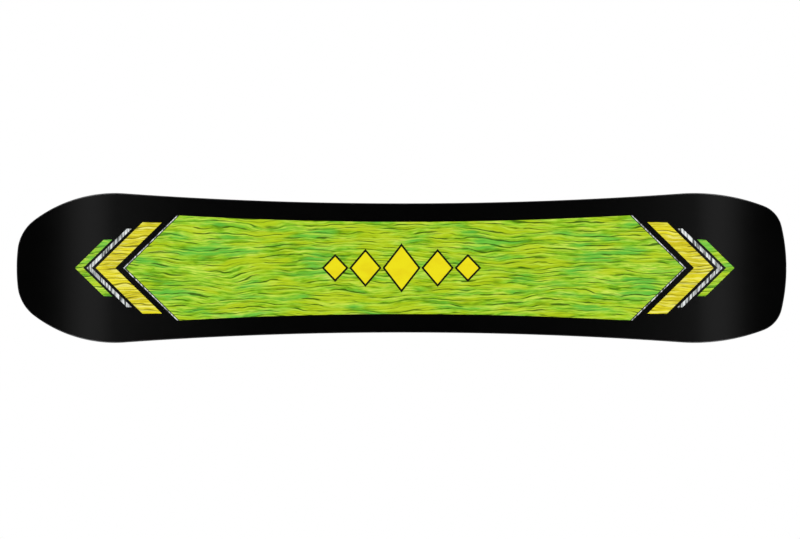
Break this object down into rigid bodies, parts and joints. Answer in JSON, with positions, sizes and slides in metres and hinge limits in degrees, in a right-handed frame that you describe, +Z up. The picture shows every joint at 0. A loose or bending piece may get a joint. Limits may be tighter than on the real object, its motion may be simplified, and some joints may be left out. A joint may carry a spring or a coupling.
{
  "type": "snowboard",
  "caption": "Snowboard without bindings: laminated cambered deck with deep sidecut, upturned nose and tail, steel edges, inlaid black base and threaded binding inserts.",
  "frame": {"origin": "centre of the board's plan, on the surface it lies on, under the camber", "axes": "+X from the tail to the nose, +Y to the board's left, +Z up out of the topsheet"},
  "size_m": [1.58, 0.307, 0.055],
  "materials": {
    "base_black": "satin",
    "inlay_lime": "satin",
    "inlay_yellow": "satin",
    "edge_steel": "satin",
    "edge_rubber": "matte",
    "glass_laminate": "satin",
    "core_poplar": "matte",
    "core_beech": "matte",
    "sidewall_abs": "satin",
    "topsheet_black": "satin",
    "insert_steel": "satin"
  },
  "bodies": {
    "root": {"base_sheet": "base_black", "base_inlay_panel": "inlay_lime", "base_inlay_nose_chevron": "inlay_yellow", "base_inlay_tail_chevron": "inlay_yellow", "edge_left": "edge_steel", "edge_right": "edge_steel", "edge_rubber_left": "edge_rubber", "edge_rubber_right": "edge_rubber", "lower_laminate": "glass_laminate", "upper_laminate": "glass_laminate", "sidewall_left": "sidewall_abs", "sidewall_right": "sidewall_abs", "nose_spacer": "sidewall_abs", "tail_spacer": "sidewall_abs", "topsheet": "topsheet_black", "core_strip_middle": "core_poplar", "core_strip_1_left": "core_poplar", "core_strip_1_right": "core_poplar", "core_strip_2_left": "core_poplar", "core_strip_2_right": "core_poplar", "core_strip_3_left": "core_poplar", "core_strip_3_right": "core_poplar", "core_stringer_left": "core_beech", "core_stringer_right": "core_beech", "insert_front_left_1": "insert_steel", "insert_front_left_2": "insert_steel", "insert_front_left_3": "insert_steel", "insert_front_left_4": "insert_steel", "insert_front_left_5": "insert_steel", "insert_front_right_1": "insert_steel", "insert_front_right_2": "insert_steel", "insert_front_right_3": "insert_steel", "insert_front_right_4": "insert_steel", "insert_front_right_5": "insert_steel", "insert_rear_left_1": "insert_steel", "insert_rear_left_2": "insert_steel", "insert_rear_left_3": "insert_steel", "insert_rear_left_4": "insert_steel", "insert_rear_left_5": "insert_steel", "insert_rear_right_1": "insert_steel", "insert_rear_right_2": "insert_steel", "insert_rear_right_3": "insert_steel", "insert_rear_right_4": "insert_steel", "insert_rear_right_5": "insert_steel"}
  },
  "joints": []
}
